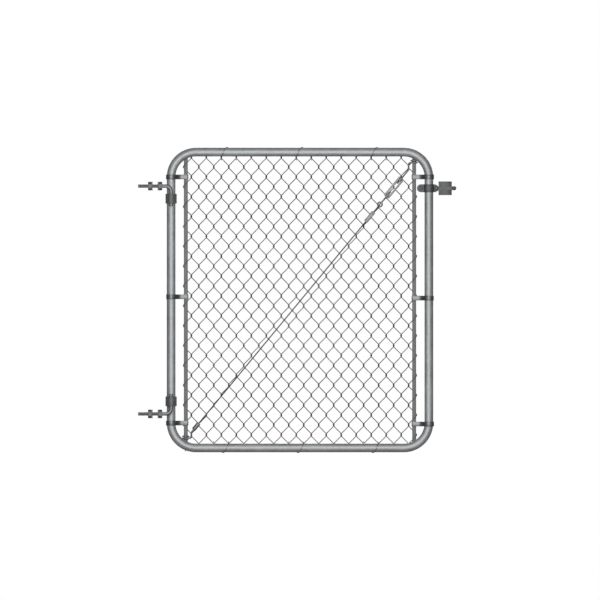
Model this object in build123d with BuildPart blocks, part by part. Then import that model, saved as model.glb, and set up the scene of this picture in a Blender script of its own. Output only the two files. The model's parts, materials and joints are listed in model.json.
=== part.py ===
# Chain link walk gate: a bent tube frame with woven wire fabric, held to its post by two
# hook bolts, closed by a lifting fork latch and kept square by a cable with a turnbuckle.
# Millimetres, +Z up, +X to the latch side, the viewer on the -Y side.
# The gate frame's centre is the origin.
from build123d import *
from math import acos, atan2, cos, hypot, pi, sin, sqrt
import os

os.makedirs("parts", exist_ok=True)

# Sizes.

seat_gap = 0.3  # between pieces that are seated or clamped on each other
pin_gap = 0.05  # radial, where a pin turns in its hole

# frame
gate_width = 1066.8
gate_height = 1219.2
tube_diameter = 34.92
tube_wall = 1.65
bend_radius = 100.0
seam_level = 9.6
spigot_length = 40.0
spigot_root = 14.0
spigot_wall = 1.6

# woven fabric
fabric_inset = 50.94  # from the stile's axis to the fabric's edge
fabric_foot = 12.54  # from the bottom rail's axis to the lowest bends
fabric_head = 19.4  # from the highest bends to the top rail's axis
nominal_pitch = 30.0
nominal_rise = 79.46  # height of one full turn of a picket
panel_count = 4
wire_radius = 1.85
wire_sides = 3
hook_rise = 4.85  # half the height of the short link at a bend
hook_offset = wire_radius + seat_gap / 2  # interlocked links pass each other by the seat gap
bar_thick = 4.8
strand_depth = bar_thick / 2 + seat_gap + wire_radius

# tension bars and the closed bands that hold them to the stiles
bar_width = 15.6
bar_gap = 6.14  # from a rail's axis to the bar's end
band_height = 19.0
band_thick = 1.9
band_sweep = 25.0  # radius of the band's front where it leaves the tube
band_nose = 3.0
band_reach = 2.5  # band's outer face past the bar's inner edge
corner_ease = 0.9  # a band that reaches onto a bend of the tube is this much wider
band_inset = 99.5  # from a rail's axis to the outer bands
band_middle = 3.6
room_at_bend = 8.8  # how far a band may stand from the level of a bend
room_between = 3.6  # and from the level midway between two bends

# wire ties
tie_radius = 1.3
tie_columns = (5, 15, 25)
tie_hook_drop = 13.0  # from the last bend to the tie that hooks under it
tie_spread = 1.035  # keeps the flats of the bent wire off the tube
tie_arcs = 7
tie_lean = 1.4  # how late the wire gains its way along the rail

# hinges
rod_diameter = 14.0
rod_inset = 136.14  # from a rail's axis to the rod
rod_bend = 22.0
rod_reach = 132.06  # from the stile's axis to the rod's end
rod_tip = 1.5  # chamfer of the rod's ends
pin_drop = 80.5  # from the rod to the pin's end
pin_forward = 46.0  # pin axis in front of the tube axis
strap_drop = 50.5  # from the rod to the middle of the strap
strap_height = 39.0
strap_thick = 4.75
strap_neck = 14.0
strap_slit = 2.0
strap_edge = 1.2
strap_bolt_radius = 3.0
strap_nut_flats = 10.0
strap_nut_height = 5.0
nut_flats = 30.0
nut_height = 15.0
washer_diameter = 36.0
washer_thick = 3.0
post_reach = 53.76  # from the stile's axis to the face that bears on the post
post_wall = 20.5  # room between the two washers
bolt_spare = 2.0  # how far a bolt shows past its nut
bolt_tip = 0.8
head_width = 2.2  # of a round head, in shank radii
head_rise = 1.1

# latch
latch_inset = 144.84  # from the top rail's axis to the latch
collar_height = 32.0
collar_thick = 3.0
collar_split = 3.0  # gap between the two collar halves at the tabs
collar_bolt_out = 32.0
collar_far_round = 22.0
pivot_out = 30.0
latch_bolt_radius = 4.0
latch_nut_flats = 13.0
latch_nut_height = 6.5
arm_height = 16.0
arm_thick = 3.2
front_arm_out = 33.8
back_arm_out = 26.0
boss_stretch = 5.0
cheek_centre = 65.2  # from the tube axis to the middle of the cheek
cheek_width = 53.0
cheek_height = 55.0
cheek_thick = 2.7
cheek_sagitta = 5.0
knob_radius = 8.2
knob_out = 101.7
arm_end = 94.0
lip_out = 5.0  # the lip that the fork rests on, beyond the pivot
lip_width = 5.0
lip_reach = 9.0
lip_thick = 3.0

# diagonal truss, from the lower left to the upper right
truss_low_inset = (29.5, 71.4)  # from the bar's middle and the rail's axis to the line's start
truss_high_inset = (18.1, 66.0)
hook_leg_inset = 22.5  # from the bar's middle to the upright leg of a hook
hook_leg_bend = 12.0
hook_turn_bend = 9.0
upper_coil_insets = (42.3, 34.1)  # from the rail's axis to the two turns round the bar
lower_coil_insets = (38.6, 46.8)
coil_round = 0.98  # of the room that a corner of the coil has
truss_depth = 6.0
cable_radius = 2.4
shank_radius = 3.2
ferrule_radius = 8.5
ferrule_start = 2.0
ferrule_length = 33.0
ferrule_edge = 1.1
clip_length = 50.0
clip_width = 16.0
clip_wall = 2.6
clip_round = 3.0
cable_tail = 6.0  # how far the cable's end shows past the clip
tail_bend = 20.0
clip_to_eye = 39.5
eye_radius = 8.5
eye_wire = 3.5
eye_to_body = 38.5
body_length = 99.0
body_to_end = 49.0
body_width = 26.0
body_thick = 10.0
body_round = 5.0
body_slot = 9.6
slot_corner = 1.2
boss_radius = 8.0
boss_length = 15.0
shank_inside = 14.0  # how far a shank shows in the turnbuckle's opening

# Derived.

tube_radius = tube_diameter / 2
tube_bore = tube_radius - tube_wall
stile_x = gate_width / 2 - tube_radius
rail_z = gate_height / 2 - tube_radius
seat_radius = tube_radius + seat_gap


def nearest_odd(number):
    return 2 * round((number - 1) / 2) + 1


# the fabric fills the frame with an odd number of pickets and of strands in each
fabric_width = 2 * (stile_x - fabric_inset)
fabric_height = 2 * rail_z - fabric_foot - fabric_head
picket_count = nearest_odd(fabric_width / nominal_pitch)
picket_pitch = fabric_width / picket_count
strand_count = nearest_odd(2 * fabric_height / nominal_rise)
half_turn = fabric_height / strand_count
lowest_bend = fabric_foot - rail_z
highest_bend = rail_z - fabric_head
first_column = -fabric_width / 2
mesh_half = strand_depth + wire_radius
mesh_y = tube_radius + seat_gap + mesh_half
bar_x = fabric_width / 2 - seat_gap / 2 - bar_width / 2
bar_length = 2 * (rail_z - bar_gap)

rod_radius = rod_diameter / 2
rod_level = rail_z - rod_inset
strap_level = rod_level - strap_drop
pin_end_level = rod_level - pin_drop
inner_washer_face = -stile_x - post_reach
outer_washer_face = inner_washer_face - post_wall
latch_level = rail_z - latch_inset


def save(builder, name):
    builder.part.label = name
    export_step(builder.part, f"parts/{name}.step")


# Frame.

for name, side in (("frame_upper_half", 1), ("frame_lower_half", -1)):
    end = seam_level + side * seat_gap / 2
    with BuildPart() as half:
        with BuildLine(Plane.XZ):
            FilletPolyline(
                (-stile_x, end),
                (-stile_x, side * rail_z),
                (stile_x, side * rail_z),
                (stile_x, end),
                radius=bend_radius,
            )
        with BuildSketch(Plane((-stile_x, 0, end), z_dir=(0, 0, side))):
            Circle(tube_radius)
            Circle(tube_bore, mode=Mode.SUBTRACT)
        sweep()
        if side < 0:
            # the lower half's ends are swaged down to slide into the upper half
            spigot_radius = tube_bore - seat_gap
            for x in (-stile_x, stile_x):
                with BuildSketch(Plane((x, 0, end - spigot_root), z_dir=(0, 0, 1))):
                    Circle(spigot_radius)
                    Circle(spigot_radius - spigot_wall, mode=Mode.SUBTRACT)
                extrude(amount=spigot_root + spigot_length)
                with BuildSketch(Plane((x, 0, end - spigot_root), z_dir=(0, 0, 1))):
                    Circle(tube_bore + tube_wall / 2)
                    Circle(spigot_radius - spigot_wall, mode=Mode.SUBTRACT)
                extrude(amount=spigot_root - seat_gap)
    save(half, name)

# Tension bars.

for name, side in (("tension_bar_left", -1), ("tension_bar_right", 1)):
    with BuildPart() as bar:
        with Locations((side * bar_x, mesh_y, 0)):
            Box(bar_width, bar_thick, bar_length)
    save(bar, name)


# Tension bands.


def clear_level(side, wanted):
    """The level nearest to wanted where no strand crosses the band's end."""
    strands = round((wanted - lowest_bend) / half_turn)
    at_bend = (strands % 2 == 0) == (side < 0)
    room = room_at_bend if at_bend else room_between
    level = lowest_bend + strands * half_turn
    return level + max(-room, min(room, wanted - level))


def band(side, level):
    """A closed strap round the stile and the tension bar, drawn in plan from the tube axis."""
    on_bend = abs(level) + band_height / 2 > rail_z - bend_radius
    bore = seat_radius + (corner_ease if on_bend else 0)
    front = mesh_y - mesh_half - seat_gap
    back = mesh_y + mesh_half + seat_gap
    end = stile_x - (bar_x - bar_width / 2) + band_reach - band_thick
    sweep_y = front - band_sweep
    sweep_x = sqrt((bore + band_sweep) ** 2 - sweep_y**2)
    leave = atan2(sweep_y, sweep_x)
    back_turn = (sweep_x, back)
    reach = hypot(*back_turn)
    meet = atan2(back, sweep_x) + acos(bore / reach)
    middle = (meet + leave + 2 * pi) / 2

    def on_tube(angle):
        return (-side * bore * cos(angle), bore * sin(angle))

    def at(x, y):
        return (-side * x, y)

    bottom = Plane((side * stile_x, 0, level - band_height / 2))
    with BuildPart() as strap:
        with BuildSketch(bottom) as inside:
            with BuildLine():
                ThreePointArc(on_tube(meet), on_tube(middle), on_tube(leave))
                turn = (leave + pi / 2) / 2
                ThreePointArc(
                    on_tube(leave),
                    at(sweep_x - band_sweep * cos(turn), sweep_y + band_sweep * sin(turn)),
                    at(sweep_x, front),
                )
                Line(at(sweep_x, front), at(end - band_nose, front))
                corner = band_nose * (1 - sqrt(0.5))
                ThreePointArc(
                    at(end - band_nose, front),
                    at(end - corner, front + corner),
                    at(end, front + band_nose),
                )
                Line(at(end, front + band_nose), at(end, back - band_nose))
                ThreePointArc(
                    at(end, back - band_nose),
                    at(end - corner, back - corner),
                    at(end - band_nose, back),
                )
                Line(at(end - band_nose, back), at(*back_turn))
                Line(at(*back_turn), on_tube(meet))
            make_face()
        with BuildSketch(bottom) as outside:
            add(inside.sketch_local)
            offset(amount=band_thick)
        extrude(outside.sketch, amount=band_height, mode=Mode.REPLACE)
        extrude(inside.sketch, amount=band_height, mode=Mode.SUBTRACT)
    return strap


for hand, side in (("left", -1), ("right", 1)):
    for place, wanted in (
        ("top", rail_z - band_inset),
        ("middle", band_middle),
        ("bottom", band_inset - rail_z),
    ):
        save(band(side, clear_level(side, wanted)), f"tension_band_{hand}_{place}")

# Woven fabric.
# Every picket is a flattened spiral: its strands rise to the right in front and to the left
# behind, and each bend hooks the bend of the next picket, which starts half a turn away.


def picket_path(starts_left):
    points = []
    for step in range(strand_count + 1):
        at_left = (step % 2 == 0) == starts_left
        x = -hook_offset if at_left else picket_pitch + hook_offset
        depth = strand_depth if at_left else -strand_depth
        level = lowest_bend + step * half_turn
        points.append((x, depth, level - hook_rise))
        points.append((x, -depth, level + hook_rise))
    return points


def picket(starts_left):
    points = picket_path(starts_left)
    with BuildPart() as wire:
        with BuildLine():
            Polyline(*points)
        direction = Vector(*points[1]) - Vector(*points[0])
        with BuildSketch(Plane(points[0], z_dir=direction)):
            RegularPolygon(radius=wire_radius, side_count=wire_sides)
        sweep(transition=Transition.RIGHT)
    return wire.part


pickets = (picket(True), picket(False))
panel_size = -(-picket_count // panel_count)
for panel in range(1, panel_count + 1):
    first = (panel - 1) * panel_size
    with BuildPart() as fabric:
        for column in range(first, min(first + panel_size, picket_count)):
            with Locations((first_column + column * picket_pitch, mesh_y, 0)):
                add(pickets[column % 2])
    save(fabric, f"chain_link_fabric_{panel}")

# Wire ties.


def tie(column, end_level, side):
    """A wire hooked under one bend, led over the rail and hooked under the bend after next."""
    start = side * (first_column + column * picket_pitch)
    node = rail_z - end_level
    wrap = (tube_radius + seat_gap + tie_radius) * tie_spread
    front = mesh_y - mesh_half - seat_gap - tie_radius
    back = mesh_y + mesh_half + seat_gap + tie_radius
    drop = node + tie_hook_drop
    over = node - hook_rise
    leave = acos(wrap / hypot(front, drop)) - atan2(front, drop)
    rest = 2 * pi - atan2(back, over) - acos(wrap / hypot(back, over))
    points = [
        (0, back, -node),
        (0, back, -drop),
        (0, front, -drop),
    ]
    for step in range(tie_arcs + 1):
        angle = leave + (rest - leave) * step / tie_arcs
        run = 2 * picket_pitch * (angle / (2 * pi)) ** tie_lean
        points.append((run, -wrap * sin(angle), -wrap * cos(angle)))
    points += [
        (2 * picket_pitch, back, -over),
        (2 * picket_pitch, back, -drop),
        (2 * picket_pitch, front, -drop),
        (2 * picket_pitch, front, -node - hook_rise),
    ]
    placed = [(side * (start + x), y, side * (rail_z + z)) for x, y, z in points]
    with BuildPart() as wire:
        with BuildLine():
            Polyline(*placed)
        direction = Vector(*placed[1]) - Vector(*placed[0])
        with BuildSketch(Plane(placed[0], z_dir=direction)):
            RegularPolygon(radius=tie_radius, side_count=4)
        sweep(transition=Transition.RIGHT)
    return wire.part


for place, side, end_level in (("top", 1, highest_bend), ("bottom", -1, -lowest_bend)):
    columns = [column if side > 0 else picket_count - column for column in tie_columns]
    wires = [tie(column, end_level, side) for column in columns]
    with BuildPart() as ties:
        add(wires)
    save(ties, f"rail_ties_{place}")


# Fasteners.


def hex_nut(centre, axis, flats, height, bore):
    """A nut with its corners turned off, its middle at centre."""
    across = flats / sqrt(3)
    place = Plane(centre, z_dir=axis)
    with BuildPart(place) as nut:
        Cylinder(radius=across, height=height)
        chamfer(nut.edges().filter_by(GeomType.CIRCLE), length=across - flats / 2)
        with BuildSketch(place.offset(-height / 2)):
            RegularPolygon(radius=across, side_count=6)
        extrude(amount=height, mode=Mode.INTERSECT)
        Cylinder(radius=bore, height=height, mode=Mode.SUBTRACT)
    return nut


def round_head_bolt(seat, axis, radius, length):
    """A carriage bolt: the dome stands on seat against the axis, the shank runs along it."""
    head = head_width * radius
    rise = head_rise * radius
    dome = (head**2 + rise**2) / (2 * rise)
    place = Plane(seat, z_dir=axis)
    profile = Plane(seat, x_dir=place.x_dir, z_dir=-place.y_dir)
    with BuildPart() as bolt:
        with BuildSketch(profile):
            with BuildLine():
                Line((0, -rise), (0, length))
                Line((0, length), (radius - bolt_tip, length))
                Line((radius - bolt_tip, length), (radius, length - bolt_tip))
                Line((radius, length - bolt_tip), (radius, 0))
                Line((radius, 0), (head, 0))
                RadiusArc((head, 0), (0, -rise), dome)
            make_face()
        revolve(axis=Axis(seat, axis))
    return bolt


# Hook bolts, with their nuts and washers.

for name, side in (("upper", 1), ("lower", -1)):
    level = side * rod_level
    with BuildPart() as rod:
        with BuildLine(Plane.XZ.offset(pin_forward)):
            FilletPolyline(
                (-stile_x - rod_reach, level),
                (-stile_x, level),
                (-stile_x, side * pin_end_level),
                radius=rod_bend,
            )
        start = (-stile_x - rod_reach, -pin_forward, level)
        with BuildSketch(Plane(start, z_dir=(1, 0, 0))):
            Circle(rod_radius)
        sweep()
        chamfer(rod.faces().sort_by(Axis.X)[0].edges(), length=rod_tip)
        tip = rod.faces().filter_by(GeomType.PLANE).sort_by(Axis.X)[-1]
        chamfer(tip.edges(), length=rod_tip)
    save(rod, f"{name}_hook_bolt")
    on_rod = (-pin_forward, level)
    bore = rod_radius + seat_gap
    outer_nut = outer_washer_face - washer_thick - seat_gap - nut_height / 2
    inner_nut = inner_washer_face + washer_thick + seat_gap + nut_height / 2
    for place, x in (("post_outer", outer_nut), ("post_inner", inner_nut)):
        nut = hex_nut((x, *on_rod), (1, 0, 0), nut_flats, nut_height, bore)
        save(nut, f"{name}_{place}_nut")
    with BuildPart() as washers:
        for x, turn in ((outer_washer_face, -1), (inner_washer_face, 1)):
            with BuildSketch(Plane((x, *on_rod), z_dir=(turn, 0, 0))):
                Circle(washer_diameter / 2)
                Circle(bore, mode=Mode.SUBTRACT)
            extrude(amount=washer_thick)
    save(washers, f"{name}_washers")

# Hinge straps: one strap goes round the stile and round the pin and is drawn together
# between the two by a bolt.

for name, side in (("upper", 1), ("lower", -1)):
    bottom = side * strap_level - strap_height / 2
    tube_loop = seat_radius + strap_thick
    pin_hole = rod_radius + pin_gap
    pin_loop = pin_hole + strap_thick
    neck_start = sqrt(tube_loop**2 - strap_neck**2 / 4)
    neck_end = pin_forward - sqrt(pin_loop**2 - strap_neck**2 / 4)
    neck_middle = (neck_start + neck_end) / 2
    with BuildPart() as strap:
        with BuildSketch(Plane((-stile_x, 0, bottom))):
            Circle(tube_loop)
            with Locations((0, -pin_forward)):
                Circle(pin_loop)
            with Locations((0, -pin_forward / 2)):
                Rectangle(strap_neck, pin_forward)
        extrude(amount=strap_height)
        chamfer(
            strap.faces().filter_by(Axis.Z).edges(),
            length=strap_edge,
        )
        with BuildSketch(Plane((-stile_x, 0, bottom))):
            Circle(seat_radius)
            with Locations((0, -pin_forward)):
                Circle(pin_hole)
            with Locations((0, -pin_forward / 2)):
                Rectangle(strap_slit, pin_forward)
        extrude(amount=strap_height, mode=Mode.SUBTRACT)
        with Locations((-stile_x, -neck_middle, side * strap_level)):
            Cylinder(
                radius=strap_bolt_radius + seat_gap,
                height=2 * tube_loop,
                rotation=(0, 90, 0),
                mode=Mode.SUBTRACT,
            )
    save(strap, f"{name}_hinge_strap")
    reach = strap_neck / 2 + seat_gap
    on_bolt = (-neck_middle, side * strap_level)
    clamp = round_head_bolt(
        (-stile_x - reach, *on_bolt),
        (1, 0, 0),
        strap_bolt_radius,
        2 * reach + strap_nut_height + bolt_spare,
    )
    save(clamp, f"{name}_strap_bolt")
    nut = hex_nut(
        (-stile_x + reach + strap_nut_height / 2, *on_bolt),
        (1, 0, 0),
        strap_nut_flats,
        strap_nut_height,
        strap_bolt_radius + seat_gap,
    )
    save(nut, f"{name}_strap_nut")

# Latch collar: two pressed halves round the latch stile, with tabs for two bolts.

pivot_x = stile_x + pivot_out
tab_front = collar_split / 2
tab_back = tab_front + collar_thick
collar_outer = seat_radius + collar_thick
for name, side in (("latch_collar_front", -1), ("latch_collar_back", 1)):
    with BuildPart() as collar:
        with BuildSketch(Plane((stile_x, 0, latch_level - collar_height / 2))):
            Circle(collar_outer)
            with Locations((-collar_bolt_out, side * (tab_front + tab_back) / 2)):
                Rectangle(2 * collar_height, collar_thick)
            with Locations((collar_bolt_out, side * (tab_front + tab_back) / 2)):
                Rectangle(2 * collar_height, collar_thick)
            Circle(seat_radius, mode=Mode.SUBTRACT)
            with Locations((0, -side * (collar_outer - tab_front))):
                Rectangle(4 * collar_height, 2 * collar_outer, mode=Mode.SUBTRACT)
        extrude(amount=collar_height)
        with BuildSketch(Plane.XZ.offset(collar_outer)):
            with Locations((stile_x + (collar_far_round - collar_bolt_out) / 2, latch_level)):
                SlotCenterToCenter(collar_far_round + collar_bolt_out, collar_height)
        extrude(amount=-2 * collar_outer, mode=Mode.INTERSECT)
        with Locations((stile_x - collar_bolt_out, 0, latch_level)):
            Cylinder(
                radius=latch_bolt_radius + seat_gap,
                height=4 * collar_thick,
                rotation=(90, 0, 0),
                mode=Mode.SUBTRACT,
            )
        with Locations((pivot_x, 0, latch_level)):
            Cylinder(
                radius=latch_bolt_radius + pin_gap,
                height=4 * collar_thick,
                rotation=(90, 0, 0),
                mode=Mode.SUBTRACT,
            )
        if side < 0:
            # a lip on the front tab that the fork comes to rest on
            lip_top = latch_level - arm_height / 2 - seat_gap
            with Locations((pivot_x + lip_out, -tab_front, lip_top)):
                Box(
                    lip_width,
                    lip_reach + collar_thick,
                    lip_thick,
                    align=(Align.CENTER, Align.MAX, Align.MAX),
                )
    save(collar, name)

clamp = round_head_bolt(
    (stile_x - collar_bolt_out, -tab_back - seat_gap, latch_level),
    (0, 1, 0),
    latch_bolt_radius,
    2 * (tab_back + seat_gap) + latch_nut_height + bolt_spare,
)
save(clamp, "latch_collar_bolt")
nut = hex_nut(
    (stile_x - collar_bolt_out, tab_back + seat_gap + latch_nut_height / 2, latch_level),
    (0, 1, 0),
    latch_nut_flats,
    latch_nut_height,
    latch_bolt_radius + seat_gap,
)
save(nut, "latch_collar_nut")

# Latch fork: two arms on the pivot bolt, one on each side of the post. The front arm
# carries a cheek curved to the post and a knob.

cheek_x = stile_x + cheek_centre
for name, side, out in (
    ("latch_fork_front", -1, front_arm_out),
    ("latch_fork_back", 1, back_arm_out),
):
    with BuildPart() as arm:
        # the boss keeps the arm off the collar's tabs
        boss_start = tab_back + seat_gap
        outward = {"x_dir": (1, 0, 0), "z_dir": (0, side, 0)}
        with BuildSketch(Plane((pivot_x, side * boss_start, latch_level), **outward)):
            with Locations((boss_stretch / 2, 0)):
                SlotCenterToCenter(boss_stretch, arm_height)
        extrude(amount=out + arm_thick / 2 - boss_start)
        # the arm itself
        with BuildSketch(Plane((0, side * out, latch_level), **outward)):
            end = stile_x + arm_end
            with Locations(((pivot_x + end) / 2, 0)):
                SlotCenterToCenter(end - pivot_x, arm_height)
        extrude(amount=arm_thick)
        if side < 0:
            curve = (cheek_width**2 / 4 + cheek_sagitta**2) / (2 * cheek_sagitta)
            with BuildSketch(Plane((cheek_x, -out + curve, latch_level - cheek_height / 2))):
                Circle(curve)
                Circle(curve - cheek_thick, mode=Mode.SUBTRACT)
                with Locations((0, -curve)):
                    Rectangle(cheek_width, 4 * cheek_sagitta, mode=Mode.INTERSECT)
            extrude(amount=cheek_height)
            with Locations((stile_x + knob_out, -out - arm_thick / 2, latch_level)):
                Sphere(radius=knob_radius)
        with Locations((pivot_x, side * out, latch_level)):
            Cylinder(
                radius=latch_bolt_radius + seat_gap,
                height=4 * out,
                rotation=(90, 0, 0),
                mode=Mode.SUBTRACT,
            )
    save(arm, name)

pivot = round_head_bolt(
    (pivot_x, -front_arm_out - arm_thick - seat_gap, latch_level),
    (0, 1, 0),
    latch_bolt_radius,
    front_arm_out + back_arm_out + 2 * (arm_thick + seat_gap) + latch_nut_height + bolt_spare,
)
save(pivot, "latch_pivot_bolt")
nut = hex_nut(
    (pivot_x, back_arm_out + arm_thick + seat_gap + latch_nut_height / 2, latch_level),
    (0, 1, 0),
    latch_nut_flats,
    latch_nut_height,
    latch_bolt_radius + seat_gap,
)
save(nut, "latch_pivot_nut")

# Diagonal truss: hook, ferrule, cable, clip, eye bolt, turnbuckle body and hook bolt.
# Its plane has x along the cable from the lower left, y towards the fabric.

low_x = truss_low_inset[0] - bar_x
low_z = truss_low_inset[1] - rail_z
high_x = bar_x - truss_high_inset[0]
high_z = rail_z - truss_high_inset[1]
truss_length = hypot(high_x - low_x, high_z - low_z)
run_x = (high_x - low_x) / truss_length
run_z = (high_z - low_z) / truss_length
truss = Plane(
    origin=(low_x, 0, low_z),
    x_dir=(run_x, 0, run_z),
    z_dir=(-run_z, 0, run_x),
)
body_end = truss_length - body_to_end
body_start = body_end - body_length
eye_station = body_start - eye_to_body
clip_end = eye_station - clip_to_eye
clip_start = clip_end - clip_length
loop_radius = eye_wire + cable_radius + seat_gap
cable_y = truss_depth - loop_radius
return_y = cable_y + 2 * cable_radius + seat_gap


def hook_rod(start, depth, side, coil_insets):
    """A rod from the truss line that turns upright, crosses to the bar and winds round it."""
    front = mesh_y - mesh_half - seat_gap - shank_radius
    turn = mesh_y - front
    back = mesh_y + turn
    wrap = sqrt((turn - shank_radius - seat_gap) ** 2 - (bar_thick / 2) ** 2)
    reach = bar_width / 2 - wrap + turn
    near = side * (bar_x - reach)
    far = side * (bar_x + reach)
    leg = side * (bar_x - hook_leg_inset)
    first, second = (side * (rail_z - inset) for inset in coil_insets)
    begin = truss.from_local_coords((start, depth, 0))
    with BuildPart() as rod:
        with BuildLine():
            FilletPolyline(
                begin,
                truss.from_local_coords(((leg - low_x) / run_x, depth, 0)),
                (leg, front, first),
                (far, front, first),
                (far, back, first),
                (near, back, second),
                (near, front, second),
                (far, front, second),
                (far, back, second),
                (side * bar_x, back, second + (second - first) / 2),
                radius=(hook_leg_bend, hook_turn_bend, *[coil_round * turn] * 6),
            )
        with BuildSketch(Plane(begin, z_dir=(side * run_x, 0, side * run_z))):
            Circle(shank_radius)
        sweep()
    return rod


upper_hook = hook_rod(
    body_end - boss_length - shank_inside, truss_depth, 1, upper_coil_insets
)
save(upper_hook, "turnbuckle_hook_bolt")
joint_station = ferrule_start + ferrule_length / 2
lower_hook = hook_rod(joint_station - seat_gap, cable_y, -1, lower_coil_insets)
save(lower_hook, "truss_lower_hook")

with BuildPart() as ferrule:
    along = Plane(
        truss.from_local_coords((ferrule_start, cable_y, 0)), z_dir=(run_x, 0, run_z)
    )
    for start, bore in ((0, shank_radius), (ferrule_length / 2, cable_radius)):
        with BuildSketch(along.offset(start)):
            Circle(ferrule_radius)
            Circle(bore + seat_gap, mode=Mode.SUBTRACT)
        extrude(amount=ferrule_length / 2)
    rims = ferrule.edges().filter_by(GeomType.CIRCLE).group_by(SortBy.RADIUS)[-1]
    ends = ShapeList(rims).sort_by(Axis.X)
    chamfer((ends[0], ends[-1]), length=ferrule_edge)
save(ferrule, "truss_lower_ferrule")

eye_low = eye_station - eye_radius
with BuildPart() as cable:
    with BuildLine(truss):
        Line((joint_station + seat_gap, cable_y), (eye_low, cable_y))
        ThreePointArc(
            (eye_low, cable_y),
            (eye_low + loop_radius, truss_depth),
            (eye_low, truss_depth + loop_radius),
        )
        FilletPolyline(
            (eye_low, truss_depth + loop_radius),
            (eye_low - cable_tail, truss_depth + loop_radius),
            (clip_end + cable_tail, return_y),
            (clip_start - cable_tail, return_y),
            radius=tail_bend,
        )
    start = truss.from_local_coords((joint_station + seat_gap, cable_y, 0))
    with BuildSketch(Plane(start, z_dir=(run_x, 0, run_z))):
        Circle(cable_radius)
    sweep()
save(cable, "truss_cable")

with BuildPart() as clip:
    start = truss.from_local_coords((clip_start, (cable_y + return_y) / 2, 0))
    with BuildSketch(Plane(start, x_dir=(0, 1, 0), z_dir=(run_x, 0, run_z))):
        depth = return_y - cable_y + 2 * (cable_radius + clip_wall)
        RectangleRounded(depth, clip_width, clip_round)
        for y in (cable_y, return_y):
            with Locations((y - (cable_y + return_y) / 2, 0)):
                Circle(cable_radius + seat_gap, mode=Mode.SUBTRACT)
    extrude(amount=clip_length)
save(clip, "truss_cable_clip")

with BuildPart() as eye:
    centre = truss.from_local_coords((eye_station, truss_depth, 0))
    with Locations(Plane(centre, z_dir=(0, 1, 0))):
        Torus(eye_radius, eye_wire)
    start = truss.from_local_coords((eye_station + eye_radius, truss_depth, 0))
    with BuildSketch(Plane(start, z_dir=(run_x, 0, run_z))):
        Circle(shank_radius)
    extrude(amount=eye_to_body + boss_length + shank_inside - eye_radius)
save(eye, "turnbuckle_eye_bolt")

with BuildPart() as body:
    centre = truss.from_local_coords((body_start + body_length / 2, truss_depth, 0))
    across = Plane(centre, x_dir=(run_x, 0, run_z), z_dir=(0, -1, 0))
    with BuildSketch(across.offset(-body_thick / 2)):
        RectangleRounded(body_length, body_width, body_round)
        slot_length = body_length - 2 * boss_length
        RectangleRounded(slot_length, body_slot, slot_corner, mode=Mode.SUBTRACT)
    extrude(amount=body_thick)
    along = Plane(centre, z_dir=(run_x, 0, run_z))
    for end in (-1, 1):
        place = along.offset(end * (body_length - boss_length) / 2 - boss_length / 2)
        with BuildSketch(place):
            Circle(boss_radius)
        extrude(amount=boss_length)
        with BuildSketch(place.offset(-seat_gap)):
            Circle(shank_radius + seat_gap)
        extrude(amount=boss_length + 2 * seat_gap, mode=Mode.SUBTRACT)
save(body, "turnbuckle_body")
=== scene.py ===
# %% [markdown]
# # A chain link walk gate
# The gate is a bent steel tube frame with woven wire fabric laced into it. It hangs on two
# hook bolts, a fork latch holds it shut and a cable with a turnbuckle keeps it square. The
# solids come in as a fixed frame with every part in its place, in metres. This lesson dresses
# them: the bent wires are drawn again as smooth round bars, the flat bars get their rolled
# edges, and every surface gets a galvanized finish.

# %% Load the frame
import json
import math

import bpy
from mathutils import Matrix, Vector

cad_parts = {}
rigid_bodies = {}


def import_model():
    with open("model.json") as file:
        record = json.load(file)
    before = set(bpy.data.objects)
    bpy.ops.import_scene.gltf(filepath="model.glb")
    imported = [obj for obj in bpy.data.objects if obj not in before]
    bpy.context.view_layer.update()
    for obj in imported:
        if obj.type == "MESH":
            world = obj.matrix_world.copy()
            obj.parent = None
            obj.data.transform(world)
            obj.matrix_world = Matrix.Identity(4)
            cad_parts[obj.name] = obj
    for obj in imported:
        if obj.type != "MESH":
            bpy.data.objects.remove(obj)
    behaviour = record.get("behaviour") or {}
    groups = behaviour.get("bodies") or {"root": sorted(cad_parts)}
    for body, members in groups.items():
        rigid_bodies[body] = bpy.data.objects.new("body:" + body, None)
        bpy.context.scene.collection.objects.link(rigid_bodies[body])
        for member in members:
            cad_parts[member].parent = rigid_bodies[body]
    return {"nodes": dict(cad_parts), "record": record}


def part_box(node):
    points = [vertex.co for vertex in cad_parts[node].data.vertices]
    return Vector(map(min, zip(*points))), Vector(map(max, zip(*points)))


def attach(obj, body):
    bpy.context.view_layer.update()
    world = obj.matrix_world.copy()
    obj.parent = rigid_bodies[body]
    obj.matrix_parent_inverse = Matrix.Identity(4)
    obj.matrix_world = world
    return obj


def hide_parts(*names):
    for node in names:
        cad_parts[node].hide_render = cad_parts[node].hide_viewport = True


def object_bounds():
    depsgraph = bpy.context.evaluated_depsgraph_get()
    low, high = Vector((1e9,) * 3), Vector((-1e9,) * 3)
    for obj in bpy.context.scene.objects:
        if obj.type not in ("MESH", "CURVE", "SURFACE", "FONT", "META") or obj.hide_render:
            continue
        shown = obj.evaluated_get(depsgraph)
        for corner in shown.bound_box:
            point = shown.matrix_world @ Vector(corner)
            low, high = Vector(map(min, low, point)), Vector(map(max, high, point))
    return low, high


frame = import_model()
cad_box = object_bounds()

# %% [markdown]
# ## Places
# Everything on the gate is measured from the middle of its frame, in millimetres, as a
# fabricator would. One helper turns such a place into metres in the frame that was loaded.

# %% Places on the gate
MM = 0.001
GATE_MIDDLE = Vector((0.5697, 0.046, 0.456))  # in metres


def at(x, y, z):
    """A place given in millimetres from the middle of the gate frame."""
    return GATE_MIDDLE + Vector((x, y, z)) * MM


print("a metre to the right of the middle is", tuple(round(c, 4) for c in at(1000, 0, 0)))

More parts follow.
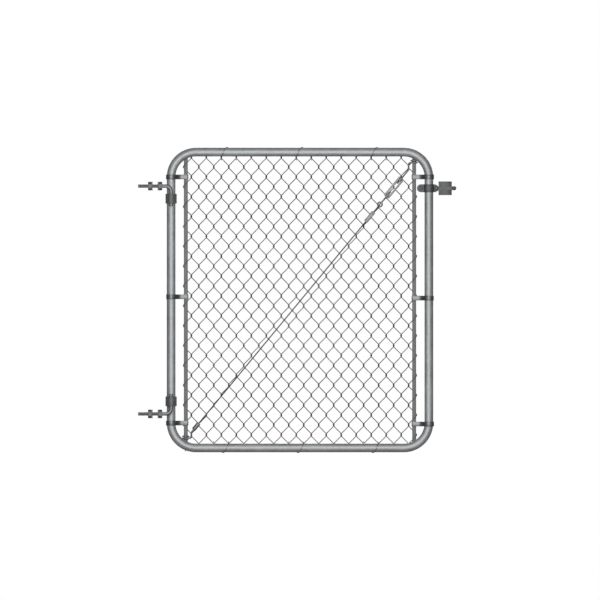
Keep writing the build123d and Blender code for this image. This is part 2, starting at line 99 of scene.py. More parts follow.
# %% [markdown]
# ## Camera, floor and light
# The gate is seen straight on, with no perspective, against white. An orthographic camera
# gives that view. The floor is a pale sheet just under the gate. Steel shows what it mirrors,
# so a wide soft light stands in front and the surroundings are kept dim for everything but
# the camera itself: the middle of each tube turns bright and its sides fall away into grey.
# For the same reason the floor glows a little by itself and isn't mirrored in the steel.

# %% Camera
PICTURE_WIDTH = 2.402  # metres across the picture
CAMERA_DISTANCE = 6
lens = bpy.data.cameras.new("gate_camera")
lens.type = "ORTHO"
lens.ortho_scale = PICTURE_WIDTH
camera = bpy.data.objects.new("gate_camera", lens)
camera.location = GATE_MIDDLE + Vector((0, -CAMERA_DISTANCE, 0))
camera.rotation_euler = (math.radians(90), 0, 0)
bpy.context.scene.collection.objects.link(camera)
bpy.context.scene.camera = camera
bpy.context.scene.view_settings.view_transform = "Standard"
print("camera shows", lens.ortho_scale, "m across")

# %% Floor
FLOOR_SIZE = 14.0
FLOOR_DROP = 0.05  # below the gate's lowest point
FLOOR_GREY = 0.86
FLOOR_GLOW = 0.42
bpy.ops.mesh.primitive_plane_add(
    size=FLOOR_SIZE, location=(GATE_MIDDLE.x, 0, cad_box[0][2] - FLOOR_DROP)
)
floor = bpy.context.object
floor.name = "floor"
floor.data.materials.append(bpy.data.materials.new("pale_floor"))
floor.data.materials[0].use_nodes = True
pale = floor.data.materials[0].node_tree.nodes["Principled BSDF"]
pale.inputs["Base Color"].default_value = (FLOOR_GREY, FLOOR_GREY, FLOOR_GREY, 1)
pale.inputs["Roughness"].default_value = 0.9
pale.inputs["Emission Color"].default_value = (1, 1, 1, 1)
pale.inputs["Emission Strength"].default_value = FLOOR_GLOW
floor.visible_diffuse = False
floor.visible_glossy = False
print("floor at", round(floor.location.z, 3), "m")

# %% Studio light


def soft_light(name, place, size, watts):
    """A square panel of light turned to the middle of the gate."""
    lamp = bpy.data.lights.new(name, "AREA")
    lamp.size = size
    lamp.energy = watts
    panel = bpy.data.objects.new(name, lamp)
    panel.location = GATE_MIDDLE + Vector(place)
    panel.rotation_euler = (-Vector(place)).to_track_quat("-Z", "Y").to_euler()
    bpy.context.scene.collection.objects.link(panel)


soft_light("front_panel", (-0.2, -7.0, 0.3), 3.4, 400)
soft_light("top_panel", (0.6, -0.5, 4.5), 3.0, 7)
soft_light("back_panel", (0.4, 7.0, 1.5), 3.4, 320)
print("lights", sorted(lamp.name for lamp in bpy.data.lights))

# %% A room that is white to the camera and dim to the steel
ROOM_GREY = (0.105, 0.107, 0.110, 1)
world = bpy.data.worlds.new("studio")
bpy.context.scene.world = world
world.use_nodes = True
room = world.node_tree
room.nodes.clear()
seen = room.nodes.new("ShaderNodeBackground")
seen.inputs["Color"].default_value = (1, 1, 1, 1)
dim = room.nodes.new("ShaderNodeBackground")
dim.inputs["Color"].default_value = ROOM_GREY
path = room.nodes.new("ShaderNodeLightPath")
pick = room.nodes.new("ShaderNodeMixShader")
sky = room.nodes.new("ShaderNodeOutputWorld")
room.links.new(path.outputs["Is Camera Ray"], pick.inputs["Fac"])
room.links.new(dim.outputs[0], pick.inputs[1])
room.links.new(seen.outputs[0], pick.inputs[2])
room.links.new(pick.outputs[0], sky.inputs["Surface"])
print("room nodes", len(room.nodes))

# %% [markdown]
# ## Writing a finish as sums
# A procedural finish is a chain of small nodes. Placed by hand they soon fill the screen, so
# here a socket is wrapped in a class whose plus, minus and times signs add the Math nodes.
# Every other node comes from one method that takes its settings first and then its inputs.

# %% Sums of sockets


class Signal:
    """One output of a node, which takes part in sums."""

    def __init__(self, finish, socket):
        self.finish = finish
        self.socket = socket

    def sum_with(self, operation, first, second):
        return self.finish.node("ShaderNodeMath", {0: first, 1: second}, operation=operation)

    def __add__(self, other):
        return self.sum_with("ADD", self, other)

    def __radd__(self, other):
        return self.sum_with("ADD", other, self)

    def __sub__(self, other):
        return self.sum_with("SUBTRACT", self, other)

    def __rsub__(self, other):
        return self.sum_with("SUBTRACT", other, self)

    def __mul__(self, other):
        return self.sum_with("MULTIPLY", self, other)

    def __rmul__(self, other):
        return self.sum_with("MULTIPLY", other, self)


# %% A finish and its nodes


class Finish:
    """A material under construction."""

    def __init__(self, name):
        self.material = bpy.data.materials.new(name)
        self.material.use_nodes = True
        self.tree = self.material.node_tree
        self.surface = self.tree.nodes["Principled BSDF"]

    def feed(self, socket, value):
        if isinstance(value, Signal):
            self.tree.links.new(value.socket, socket)
        else:
            socket.default_value = value

    def node(self, kind, inputs, output=0, **settings):
        made = self.tree.nodes.new(kind)
        for name, value in settings.items():
            setattr(made, name, value)
        for name, value in inputs.items():
            self.feed(made.inputs[name], value)
        return Signal(self, made.outputs[output])

    def blend(self, share, low, high):
        """A colour: low where share is 0 and high where it is 1."""
        return self.node(
            "ShaderNodeMix", {0: share, 6: low, 7: high}, output=2, data_type="RGBA"
        )

    def steel(self, colour, roughness, normal, metallic):
        for name, value in (
            ("Base Color", colour),
            ("Roughness", roughness),
            ("Normal", normal),
            ("Metallic", metallic),
        ):
            self.feed(self.surface.inputs[name], value)
        return self.material


# %% [markdown]
# ## Galvanized steel
# Hot zinc freezes on steel as a patchwork of crystals, each a slightly different grey, under a
# broader cloud of duller and brighter places. Voronoi cells give the crystals and noise gives
# the clouds. The same recipe, with other greys and sizes, serves the tube, the flat bars and
# the pressed straps, because they went through the same bath.

# %% The galvanized recipe
COOL = (0.965, 0.99, 1.0)  # zinc is a slightly blue grey


def grey(value):
    """A grey in the tint of zinc."""
    return (value * COOL[0], value * COOL[1], value * COOL[2], 1)


def galvanized(name, dark, light, crystal, cloud, shine, metallic=0.88):
    """dark and light are the greys of the zinc; crystal and cloud are sizes in metres."""
    finish = Finish(name)
    place = finish.node("ShaderNodeTexCoord", {}, output="Object")
    cells = finish.node(
        "ShaderNodeTexVoronoi", {"Vector": place, "Scale": 1 / crystal}, output="Color"
    )
    clouds = finish.node(
        "ShaderNodeTexNoise",
        {"Vector": place, "Scale": 1 / cloud, "Detail": 5.0, "Roughness": 0.62},
    )
    dust = finish.node(
        "ShaderNodeTexNoise",
        {"Vector": place, "Scale": 4 / crystal, "Detail": 3.0, "Roughness": 0.6},
    )
    patch = (cells - 0.5) * 0.4 + (clouds - 0.5) * 1.8 + (dust - 0.5) * 0.5 + 0.5
    relief = finish.node(
        "ShaderNodeBump",
        {"Strength": 0.3, "Distance": 0.0003, "Height": dust * 0.7 + cells * 0.3},
        output="Normal",
    )
    colour = finish.blend(patch, grey(dark), grey(light))
    roughness = (clouds - 0.5) * 0.22 + (dust - 0.5) * 0.12 + shine
    return finish.steel(colour, roughness, relief, metallic)


# %% The galvanized finishes
GREYS = {
    # slot: (dark, light, crystal, cloud, shine and, where it differs, metallic)
    "galvanized_tube": (0.48, 0.70, 0.007, 0.060, 0.66),
    "galvanized_bar": (0.11, 0.19, 0.006, 0.022, 0.58),
    "galvanized_strap": (0.25, 0.38, 0.004, 0.015, 0.76),
    "galvanized_wire": (0.12, 0.20, 0.003, 0.030, 0.50),
    "tie_wire": (0.30, 0.42, 0.003, 0.025, 0.42),
    "hinge_rod": (0.25, 0.38, 0.005, 0.020, 0.56),
    "zinc_fastener": (0.20, 0.31, 0.003, 0.012, 0.68),
    "latch_steel": (0.14, 0.24, 0.004, 0.018, 0.66),
    "truss_hardware": (0.24, 0.35, 0.004, 0.015, 0.58),
    "steel_cable": (0.09, 0.13, 0.002, 0.010, 0.70, 0.15),
}
finishes = {slot: galvanized(slot, *recipe) for slot, recipe in GREYS.items()}
print("finishes", sorted(finishes))

# %% [markdown]
# ## Wires and rods
# A wire is drawn, not carved. A single point is pulled along the wire's route, its corners
# are rounded by a bevel of the points, the line becomes a curve with a round section, and the
# curve becomes a mesh again. That is how a bender works too: a straight rod, then each bend.

# %% Selecting
SAME_PLACE = 0.01 * MM  # points nearer to each other than this are one point


def alone(piece):
    """Selects one piece and nothing else."""
    bpy.ops.object.select_all(action="DESELECT")
    piece.select_set(True)
    bpy.context.view_layer.objects.active = piece


def select_in(piece, parts, wanted):
    """Selects those parts of a mesh, its points, edges or faces, for which wanted is true."""
    alone(piece)
    kind = {"vertices": "VERT", "edges": "EDGE", "polygons": "FACE"}[parts]
    bpy.ops.object.mode_set(mode="EDIT")
    bpy.ops.mesh.select_mode(type=kind)
    bpy.ops.mesh.select_all(action="DESELECT")
    bpy.ops.object.mode_set(mode="OBJECT")
    for part in getattr(piece.data, parts):
        part.select = wanted(part)
    bpy.ops.object.mode_set(mode="EDIT")


def back_to_object():
    """Leaves edit mode, with points as what is selected next."""
    bpy.ops.mesh.select_mode(type="VERT")
    bpy.ops.object.mode_set(mode="OBJECT")


# %% A route and its corners
def route(name, places):
    """An edge mesh that runs through places."""
    bpy.ops.object.select_all(action="DESELECT")
    bpy.ops.mesh.primitive_plane_add(size=MM, location=(0, 0, 0))
    wire = bpy.context.object
    wire.name = name
    bpy.ops.object.mode_set(mode="EDIT")
    bpy.ops.mesh.merge(type="CENTER")
    bpy.ops.transform.translate(value=places[0])
    for start, end in zip(places, places[1:]):
        bpy.ops.mesh.extrude_vertices_move(
            TRANSFORM_OT_translate={"value": Vector(end) - Vector(start)}
        )
    bpy.ops.object.mode_set(mode="OBJECT")
    return wire


def round_corners(wire, corners, radius, steps):
    """Rounds the route at the given corners, which are found by their place."""

    def at_a_corner(point):
        return any((point.co - corner).length < SAME_PLACE for corner in corners)

    select_in(wire, "vertices", at_a_corner)
    bpy.ops.mesh.bevel(offset=radius, segments=steps, affect="VERTICES")
    back_to_object()


# %% From a route to a round bar
SMOOTH_UP_TO = math.radians(50)  # a sharper angle between two faces shows as an edge


def draw_rod(wire, radius, sides):
    """Turns the route into a round bar with closed ends."""
    alone(wire)
    bpy.ops.object.convert(target="CURVE")
    curve = bpy.context.object.data
    curve.bevel_depth = radius
    curve.bevel_resolution = sides // 2 - 2
    curve.use_fill_caps = True
    bpy.ops.object.convert(target="MESH")
    bpy.ops.object.shade_smooth_by_angle(angle=SMOOTH_UP_TO)
    return bpy.context.object


# %% Fitting a piece
def fit(piece, body, slot, *nodes):
    """Gives a piece its finish and body, and says which solids it stands for."""
    alone(piece)
    bpy.ops.object.transform_apply(location=True, rotation=True, scale=True)
    piece.data.materials.clear()
    piece.data.materials.append(finishes[slot])
    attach(piece, body)
    if nodes:
        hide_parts(*nodes)
    print(piece.name, "faces", len(piece.data.polygons))
    return piece


# %% [markdown]
# ## Woven fabric
# Chain link is woven from pickets: wires wound into flattened spirals. In front every strand
# climbs to the right, behind it climbs to the left, and at each side the wire turns round
# like a spiral stair. One strand and one turn are all that has to be drawn. An array that
# half turns each copy about the picket's axis, and lifts it, winds the whole picket.

# %% One picket
PITCH = 30.0 * MM
HALF_TURN = 39.73 * MM
STRANDS = 29
WIRE = 1.85 * MM  # half the wire's thickness
STRAND_DEPTH = 4.55 * MM  # from the middle of the fabric to a strand
APART = 1.97 * MM  # from the joint of two pickets to either wire's middle
LOWEST_BEND = -579.6  # where the first bend's middle lies
MESH_Y = 24.16  # the fabric's middle lies behind the tubes' middle
TURN_STEPS = 8
axis_x = PITCH / 2 + APART - STRAND_DEPTH
slope = HALF_TURN / (math.pi * STRAND_DEPTH + 2 * axis_x)
turn_rise = math.pi * STRAND_DEPTH * slope


def stair(angle):
    """A point of the left bend; the angle runs from -90 behind to 90 in front."""
    turn = math.radians(angle)
    return Vector(
        (
            -axis_x - STRAND_DEPTH * math.cos(turn),
            -STRAND_DEPTH * math.sin(turn),
            turn_rise * angle / 180,
        )
    )


bend = [stair(-90 + 180 * step / TURN_STEPS) for step in range(TURN_STEPS + 1)]
strand_end = Vector((axis_x, -STRAND_DEPTH, HALF_TURN - turn_rise / 2))
picket = route("picket", bend + [strand_end])

bpy.ops.object.empty_add(location=(0, 0, HALF_TURN), rotation=(0, 0, math.pi))
half_turner = bpy.context.object
alone(picket)
winding = picket.modifiers.new("winding", "ARRAY")
winding.count = STRANDS + 1
winding.use_relative_offset = False
winding.use_object_offset = True
winding.offset_object = half_turner
winding.use_merge_vertices = True
winding.merge_threshold = 0.05 * MM  # well under the step from one bend point to the next
bpy.ops.object.modifier_apply(modifier="winding")
bpy.data.objects.remove(half_turner)
print("slope", round(math.degrees(math.atan(slope)), 1), "points", len(picket.data.vertices))

# %% [markdown]
# ## Knuckles
# Where the fabric ends, each wire is not just cut off: its end is curled once more round its
# neighbour, so that the weave can't run out and no point sticks up. The curl is the bend's own
# stair, carried further and a little steeper.

# %% Curl the two ends
CURL_TURN = 150  # degrees
CURL_STEPS = 6
CURL_RISE = 1.5 * turn_rise


def pull(wire, point, steps):
    """Pulls the end of a wire on, one step after another."""
    select_in(wire, "vertices", lambda end: (end.co - point).length < SAME_PLACE)
    for step in steps:
        bpy.ops.mesh.extrude_vertices_move(TRANSFORM_OT_translate={"value": step})
    back_to_object()


def curl_point(step):
    """A point of the curl past the front end of a left bend."""
    angle = 90 + CURL_TURN * step / CURL_STEPS
    point = stair(angle)
    point.z = turn_rise / 2 + CURL_RISE * (angle - 90) / 180
    return point


curl = [curl_point(step + 1) - curl_point(step) for step in range(CURL_STEPS)]
behind = [Vector((step.x, -step.y, -step.z)) for step in curl]
pull(picket, bend[0], behind)


def top_of(wire):
    """The place of a wire's highest point."""
    return max(wire.data.vertices, key=lambda point: point.co.z).co.copy()


# the last strand of the array isn't needed: the picket ends on a bend, half turned from the
# first because the number of strands is odd
spare = top_of(picket)
select_in(picket, "vertices", lambda point: (point.co - spare).length < SAME_PLACE)
bpy.ops.mesh.delete(type="VERT")
back_to_object()
pull(picket, top_of(picket), [Vector((-step.x, -step.y, step.z)) for step in curl])
picket = draw_rod(picket, WIRE, 8)
print("picket from", round(min(v.co.z for v in picket.data.vertices) / MM, 1), "mm")

# %% [markdown]
# ## Thirty-one pickets
# Neighbours start half a turn apart, so that each bend hooks the next picket's. The second
# picket is the first one turned half round. Copies are set side by side, each with a mesh of
# its own, and joined into the four panels that the solids come in.

# %% Copies set in their places, and one piece of several
def copy_to(piece, place, turn):
    """A copy with a mesh of its own, set at a place and turned."""
    alone(piece)
    bpy.ops.object.duplicate()
    copy = bpy.context.object
    copy.location = place
    copy.rotation_euler = turn
    bpy.ops.object.transform_apply(location=True, rotation=True)
    return copy


def join(pieces, name):
    """Makes one piece of several."""
    alone(pieces[0])
    for piece in pieces:
        piece.select_set(True)
    bpy.ops.object.join()
    pieces[0].name = name
    return pieces[0]


# %% Hang the pickets side by side
LEAF_BODY = "gate_leaf"
PICKETS = 31
PER_PANEL = 8
first_column = -PICKETS * PITCH / 2

for panel, first in enumerate(range(0, PICKETS, PER_PANEL), start=1):
    row = []
    for column in range(first, min(first + PER_PANEL, PICKETS)):
        middle = first_column / MM + (column + 0.5) * PITCH / MM
        half_turned = (0, 0, math.pi * (column % 2))
        row.append(copy_to(picket, at(middle, MESH_Y, LOWEST_BEND), half_turned))
    woven = join(row, f"woven_wire_{panel}")
    fit(woven, LEAF_BODY, "galvanized_wire", f"chain_link_fabric_{panel}")
bpy.data.objects.remove(picket)

# %% [markdown]
# ## Tension bars
# A flat bar runs down through the end picket at each side, and the bands pull it to the
# frame. It is rolled steel, so its long edges are round: a bevel of four long edges.

# %% Two flat bars
BAR_EDGE = 1.9 * MM  # how far a rolled edge is rounded


def length_of(piece, edge):
    """How long an edge of a mesh is."""
    start, end = (piece.data.vertices[number].co for number in edge.vertices)
    return (end - start).length


for hand in ("left", "right"):
    node = f"tension_bar_{hand}"
    low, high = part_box(node)
    bpy.ops.object.select_all(action="DESELECT")
    bpy.ops.mesh.primitive_cube_add(size=1, location=(low + high) / 2)
    bar = bpy.context.object
    bar.name = f"{hand}_flat_bar"
    bar.scale = high - low
    bpy.ops.object.transform_apply(location=True, scale=True)
    select_in(bar, "edges", lambda edge: length_of(bar, edge) > 0.5 * (high.z - low.z))
    bpy.ops.mesh.bevel(offset=BAR_EDGE, segments=4, affect="EDGES")
    back_to_object()
    bpy.ops.object.shade_smooth_by_angle(angle=SMOOTH_UP_TO)
    fit(bar, LEAF_BODY, "galvanized_bar", node)

# %% [markdown]
# ## Wire ties
# Along the two rails the fabric has no bar, so short wires tie it up. Each tie hooks under a
# bend of the mesh, goes over the rail, and hooks under the bend after next. Its route is the
# tube's own circle, a little larger and stretched along the rail; a round bar drawn along it
# gives the wire. One tie is drawn for each rail and set three times.

# %% A tie's route
RAIL_Z = 592.14
TUBE = 17.46  # half the tube's thickness
TIE_WIRE = 1.35  # half the tie's thickness
TIE_ROOM = TIE_WIRE + 0.25  # from what the tie lies on to its middle, with a little air
TIE_STEPS = 28
CHORD = 1.005  # a circle drawn in short runs is a little smaller than it should be
TIE_SPAN = 60  # along the rail: two bends of the mesh
TIE_DROP = 13.0  # how far a tie's legs reach past the bend
TIE_NIP = 4.85  # how much nearer the rail the second bend of the mesh is held
TIE_TIP = 4  # how far short of the bend the free end stops
MESH_HALF = 6.4  # half the fabric's thickness, with both wires


def tie_places(node):
    """The route from the bend at one side; node is how far the bends lie from the rail.

    Round the tube the angle is counted from straight down, towards the front. The tie leaves
    its front leg, and comes to its back leg, where a line from the leg's end just touches the
    circle.
    """
    wrap = (TUBE + TIE_ROOM) * CHORD
    front = MESH_Y - MESH_HALF - TIE_ROOM
    back = MESH_Y + MESH_HALF + TIE_ROOM
    drop = node + TIE_DROP
    over = node - TIE_NIP
    leave = math.acos(wrap / math.hypot(front, drop)) - math.atan2(front, drop)
    rest = 2 * math.pi - math.atan2(back, over) - math.acos(wrap / math.hypot(back, over))
    places = [(0, back, -node), (0, back, -drop), (0, front, -drop)]
    for step in range(TIE_STEPS + 1):
        angle = leave + (rest - leave) * step / TIE_STEPS
        run = TIE_SPAN * (angle / math.tau) ** 1.4  # slow at first, so that it leaves upright
        places.append((run, -wrap * math.sin(angle), -wrap * math.cos(angle)))
    for depth, height in ((back, over), (back, drop), (front, drop), (front, node + TIE_TIP)):
        places.append((TIE_SPAN, depth, -height))
    return places


# %% Three ties on each rail
TIE_BEND = 2.6
TIE_COLUMNS = (5, 15, 25)  # counted in pickets from the fabric's edge
RAILS = (
    # rail, which way up, from the rail's middle to the fabric's last bends
    ("top", 1, 19.4),
    ("bottom", -1, 12.54),
)
for rail, side, node in RAILS:
    places = [Vector(place) * MM for place in tie_places(node)]
    line = route("tie", places)
    round_corners(line, places[1:3] + places[-3:-1], TIE_BEND * MM, 4)
    tie = draw_rod(line, TIE_WIRE * MM, 10)
    row = []
    for column in TIE_COLUMNS:
        start = first_column / MM + column * PITCH / MM
        upside_down = (0, math.pi * (side < 0), 0)
        row.append(copy_to(tie, at(side * start, 0, side * RAIL_Z), upside_down))
    bpy.data.objects.remove(tie)
    fit(join(row, f"{rail}_rail_ties"), LEAF_BODY, "tie_wire", f"rail_ties_{rail}")

# %% [markdown]
# ## Threads
# A rolled thread is one groove wound round a rod. The screw modifier does just that to a
# profile: here a root, a crest and a root again, one pitch high. The wound strip is then cut
# flat at both ends, and the free end is drawn in to a chamfer so that a nut would start on it.

# %% A flat cut
# A point this near a cutting plane counts as lying on it. The usual tenth of a millimetre is
# as wide as a thread's crest, so a finer one is given.
ON_THE_CUT = 0.001 * MM


def cut(piece, height, keep_above):
    """Cuts a piece off flat at a height and closes it."""
    alone(piece)
    bpy.ops.object.mode_set(mode="EDIT")
    bpy.ops.mesh.select_all(action="SELECT")
    bpy.ops.mesh.bisect(
        plane_co=(0, 0, height),
        plane_no=(0, 0, 1),
        use_fill=True,
        clear_inner=keep_above,
        clear_outer=not keep_above,
        threshold=ON_THE_CUT,
    )
    bpy.ops.object.mode_set(mode="OBJECT")


# %% Winding a thread
TURN_POINTS = 16  # in one turn of a thread


def threaded(name, radius, depth, pitch, length):
    """A threaded length that stands on the origin, its free end up."""
    # the winding starts a little low, so that no cut runs exactly through its points, and a
    # crest is about an eighth of the pitch wide
    low = -0.02 * pitch
    profile = [
        (radius - depth, 0, low - pitch),
        (radius, 0, low - 0.56 * pitch),
        (radius, 0, low - 0.44 * pitch),
        (radius - depth, 0, low),
    ]
    rod = route(name, [Vector(place) * MM for place in profile])
    winding = rod.modifiers.new("winding", "SCREW")
    winding.screw_offset = pitch * MM
    winding.iterations = math.ceil(length / pitch) + 1
    winding.steps = TURN_POINTS
    winding.render_steps = TURN_POINTS
    winding.use_merge_vertices = True
    winding.merge_threshold = SAME_PLACE
    bpy.ops.object.modifier_apply(modifier="winding")
    alone(rod)
    bpy.ops.object.mode_set(mode="EDIT")
    bpy.ops.mesh.select_all(action="SELECT")
    bpy.ops.mesh.remove_doubles(threshold=SAME_PLACE)
    bpy.ops.object.mode_set(mode="OBJECT")
    cut(rod, 0, True)
    cut(rod, length * MM, False)

    def is_end(face):
        return face.center.z > length * MM - ON_THE_CUT and abs(face.normal.z) > 0.99

    select_in(rod, "polygons", is_end)
    bpy.ops.mesh.extrude_region_move(TRANSFORM_OT_translate={"value": (0, 0, depth * MM)})
    shrink = 1 - 1.2 * depth / radius  # the chamfer ends a little below the groove
    bpy.ops.transform.resize(value=(shrink, shrink, 1))
    bpy.ops.mesh.select_all(action="SELECT")
    bpy.ops.mesh.normals_make_consistent(inside=False)
    back_to_object()
    bpy.ops.object.shade_smooth_by_angle(angle=math.radians(35))
    return rod


def aim(piece, start, direction):
    """Lays a piece that stands on the origin along a direction from start."""
    piece.location = start
    piece.rotation_euler = Vector(direction).to_track_quat("Z", "Y").to_euler()
    alone(piece)
    bpy.ops.object.transform_apply(location=True, rotation=True)


# %% [markdown]
# ## Hook bolts
# The gate hangs on two rods that pass through the post and turn down, or up, into the hinge
# straps. A bender makes them in one stroke, so the rod is drawn along a route with one
# rounded corner. The straight half is threaded for the two nuts that grip the post.

# %% Two hook bolts
HINGE_BODY = "hinge_hardware"
ROD = 7.0  # half the rod's thickness
ROD_BEND = 22.0  # where the corner's rounding starts and ends
ROD_FORWARD = -46.0  # the rods lie this far in front of the tubes' middle
ROD_END_X = -648.0
THREAD_START_X = -552.0
ROD_LEVEL = 456.0
PIN_END = 375.5
PIN_CHAMFER = 1.2
STILE_X = 515.94
ROD_THREAD = 0.55  # depth of the groove
ROD_PITCH = 2.0
THREAD_UNDER = 0.05  # a thread is a hair thinner than its rod, as rolled threads are

for name, side in (("upper", 1), ("lower", -1)):
    corner = at(-STILE_X, ROD_FORWARD, side * ROD_LEVEL)
    thread_start = at(THREAD_START_X, ROD_FORWARD, side * ROD_LEVEL)
    pin_end = at(-STILE_X, ROD_FORWARD, side * PIN_END)
    line = route(f"{name}_bent_rod", [thread_start, corner, pin_end])
    round_corners(line, [corner], ROD_BEND * MM, 12)
    rod = draw_rod(line, ROD * MM, 28)
    tip = rod.modifiers.new("tip", "BEVEL")
    tip.width = PIN_CHAMFER * MM
    tip.segments = 2
    tip.limit_method = "ANGLE"
    tip.angle_limit = math.radians(60)
    alone(rod)
    bpy.ops.object.modifier_apply(modifier="tip")
    reach = THREAD_START_X - ROD_END_X - ROD_THREAD
    thread = threaded("thread", ROD - THREAD_UNDER, ROD_THREAD, ROD_PITCH, reach)
    aim(thread, thread_start, (-1, 0, 0))
    bent_rod = join([rod, thread], f"{name}_bent_rod")
    fit(bent_rod, HINGE_BODY, "hinge_rod", f"{name}_hook_bolt")

# %% [markdown]
# ## The truss line
# A single bent tube is easily pulled out of square, so a cable runs from the low hinge corner
# to the high latch corner and a turnbuckle draws it tight. Places on it are given as a
# station, how far along the line, and a depth behind the tube's axis.

# %% Stations along the truss
TRUSS_LOW = Vector((-427.55, 0, -520.74))
TRUSS_HIGH = Vector((438.95, 0, 526.14))
along_truss = (TRUSS_HIGH - TRUSS_LOW).normalized()
truss_length = (TRUSS_HIGH - TRUSS_LOW).length
BODY_END = truss_length - 49  # the turnbuckle's two ends, the upper one first
BODY_START = BODY_END - 99
EYE = BODY_START - 38.5  # the middle of the eye bolt's eye
CLIP_END = EYE - 39.5
CLIP_START = CLIP_END - 50
ROD_DEPTH = 6.0  # the truss lies this far behind the tubes' middle


def on_truss(station, depth):
    """A place on the truss line."""
    place = TRUSS_LOW + along_truss * station
    return at(place.x, depth, place.z)


print("truss", round(truss_length, 1), "mm long")

# %% [markdown]
# ## A stranded cable
# The cable is six wires laid round a seventh. Its outline is drawn once, as a circle with six
# lobes, and swept along the route while it turns, one turn for every lay of the rope. On a
# curve that turn is the tilt of its points, so the long runs are first divided finely.

# %% The cable's outline
STRAND = 0.86  # half a strand's thickness
LOBES = 6
LOBE_STEPS = 6
LAY = 26.0  # millimetres for one turn of the strands
CABLE_STEP = 2.5  # the longest stretch between two sections of the cable

outline = []
for lobe in range(LOBES):
    for step in range(LOBE_STEPS):
        # the far side of a circle that is two radii out, seen from the middle
        off = math.radians(-30 + 60 * step / LOBE_STEPS)
        reach = 2 * STRAND * math.cos(off)
        reach += math.sqrt(max(0, STRAND**2 - (2 * STRAND * math.sin(off)) ** 2))
        turn = math.radians(60 * lobe) + off
        outline.append(Vector((reach * math.cos(turn), reach * math.sin(turn), 0)) * MM)
section = route("cable_outline", outline)
bpy.ops.object.mode_set(mode="EDIT")
bpy.ops.mesh.select_all(action="SELECT")
bpy.ops.mesh.edge_face_add()
bpy.ops.mesh.delete(type="ONLY_FACE")
bpy.ops.object.mode_set(mode="OBJECT")
bpy.ops.object.convert(target="CURVE")
print("outline points", len(outline))

# %% The cable's route
CABLE_START = 18.8  # inside the lower ferrule
LOOP = 6.2  # the cable turns back through the eye on this radius
LOOP_STEPS = 12
RETURN_DEPTH = 4.9  # the short leg that the clip holds beside the long one
loop_start = EYE - 8.5  # where the straight legs end
cable_line = [on_truss(CABLE_START, ROD_DEPTH - LOOP)]
for step in range(LOOP_STEPS + 1):
    turn = math.pi * step / LOOP_STEPS
    station = loop_start + LOOP * math.sin(turn)
    cable_line.append(on_truss(station, ROD_DEPTH - LOOP * math.cos(turn)))
# behind the eye the short leg comes in beside the long one, and ends just below the clip
cable_line += [
    on_truss(loop_start - 5, ROD_DEPTH + LOOP - 0.4),
    on_truss(CLIP_END + 8, RETURN_DEPTH + 0.5),
    on_truss(CLIP_END + 3, RETURN_DEPTH),
    on_truss(CLIP_START - 6, RETURN_DEPTH),
]
cable = route("truss_wire_rope", cable_line)
print("cable corners", len(cable_line))


# %% Divide it and lay its strands
def divide(wire, step):
    """Halves the runs of a route until none is longer than step."""
    while any(length_of(wire, run) > step for run in wire.data.edges):
        select_in(wire, "edges", lambda run: length_of(wire, run) > step)
        bpy.ops.mesh.subdivide(number_cuts=1)
        back_to_object()


divide(cable, CABLE_STEP * MM)
alone(cable)
bpy.ops.object.convert(target="CURVE")
cable = bpy.context.object
travel = 0.0
before = None
for point in cable.data.splines[0].points:
    place = point.co.xyz
    travel += (place - before).length if before else 0.0
    before = place.copy()
    point.tilt = math.tau * travel / (LAY * MM)
cable.data.bevel_mode = "OBJECT"
cable.data.bevel_object = section
cable.data.use_fill_caps = True
bpy.ops.object.convert(target="MESH")
bpy.data.objects.remove(section)
cable = bpy.context.object
bpy.ops.object.shade_smooth_by_angle(angle=math.radians(40))
fit(cable, LEAF_BODY, "steel_cable", "truss_cable")

# %% [markdown]
# ## The turnbuckle's threads
# The eye bolt and the hook bolt are threaded into the two ends of the turnbuckle, so that
# turning it draws both in. Their threads show in its opening and just outside its ends.

# %% Threads in the turnbuckle
INSIDE = 29.0  # a thread reaches this far in from the turnbuckle's end
OUTSIDE = 13.0  # and this far out
BOLT = 3.45  # half a bolt's thickness
BOLT_THREAD = 0.4
BOLT_PITCH = 1.1
reach = INSIDE + OUTSIDE - BOLT_THREAD
for name, station, turn in (("eye", BODY_START, 1), ("hook", BODY_END, -1)):
    thread = threaded(f"{name}_bolt_thread", BOLT, BOLT_THREAD, BOLT_PITCH, reach)
    aim(thread, on_truss(station - turn * OUTSIDE, ROD_DEPTH), along_truss * turn)
    fit(thread, LEAF_BODY, "truss_hardware")

# %% [markdown]
# ## Edges that a hand would feel
# Pressed and sawn steel never has a perfectly sharp edge: the zinc rounds it, and that thin
# rounding catches the light. A copy of each such solid is cleaned of its doubled points, its
# flat facets are merged, and a bevel rounds every edge that is sharper than thirty degrees.

# %% Rounding the edges of a solid's copy
FLAT = math.radians(0.5)  # facets that meet at less are one flat
EDGE_ANGLE = math.radians(30)


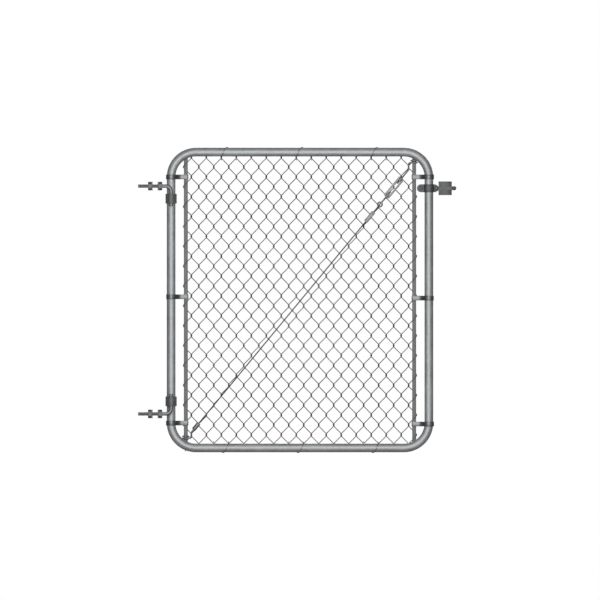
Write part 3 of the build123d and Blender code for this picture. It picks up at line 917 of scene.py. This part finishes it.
def ease(node, body, slot, edge):
    """A copy of a solid with its edges rounded, which stands for it."""
    alone(frame["nodes"][node])
    bpy.ops.object.duplicate()
    piece = bpy.context.object
    bpy.ops.object.parent_clear(type="CLEAR")
    piece.name = f"eased_{node}"
    bpy.ops.mesh.customdata_custom_splitnormals_clear()
    bpy.ops.object.mode_set(mode="EDIT")
    bpy.ops.mesh.select_all(action="SELECT")
    bpy.ops.mesh.remove_doubles(threshold=SAME_PLACE)
    bpy.ops.mesh.dissolve_limited(angle_limit=FLAT)
    bpy.ops.object.mode_set(mode="OBJECT")
    rounding = piece.modifiers.new("rounding", "BEVEL")
    rounding.width = edge * MM
    rounding.segments = 2
    rounding.limit_method = "ANGLE"
    rounding.angle_limit = EDGE_ANGLE
    bpy.ops.object.modifier_apply(modifier="rounding")
    bpy.ops.object.shade_smooth_by_angle(angle=math.radians(40))
    return fit(piece, body, slot, node)


# %% Ease the bands
# the bands are darker than the other straps and shine more, so they get their own finish
pressed_band = galvanized("pressed_band", 0.19, 0.29, 0.004, 0.015, 0.52)
for hand in ("left", "right"):
    for level in ("top", "middle", "bottom"):
        band = ease(f"tension_band_{hand}_{level}", LEAF_BODY, "galvanized_strap", 0.5)
        band.data.materials[0] = pressed_band

# %% Ease the straps, the latch, the truss's pressed pieces and the washers
FORK_BODY = "latch_fork"
slots = {part["node"]: part["material_slot"] for part in frame["record"]["subparts"]}
for node, edge in (
    ("upper_hinge_strap", 0.5),
    ("lower_hinge_strap", 0.5),
    ("latch_collar_front", 0.8),
    ("latch_collar_back", 0.8),
    ("truss_cable_clip", 0.8),
    ("turnbuckle_body", 1.2),
    ("truss_lower_ferrule", 0.5),
):
    ease(node, LEAF_BODY, slots[node], edge)
for node in ("latch_fork_front", "latch_fork_back"):
    ease(node, FORK_BODY, slots[node], 0.7)
for node in ("upper_washers", "lower_washers"):
    ease(node, HINGE_BODY, slots[node], 0.4)

# %% [markdown]
# ## Finishing the pieces that stay
# The remaining solids already have their real shape, down to the chamfers, so they stay as
# they are and only take the finish of their slot in the record.

# %% Give every remaining node its finish
for node, piece in frame["nodes"].items():
    piece.data.materials.clear()
    piece.data.materials.append(finishes[slots[node]])
print("finished nodes", len(slots))
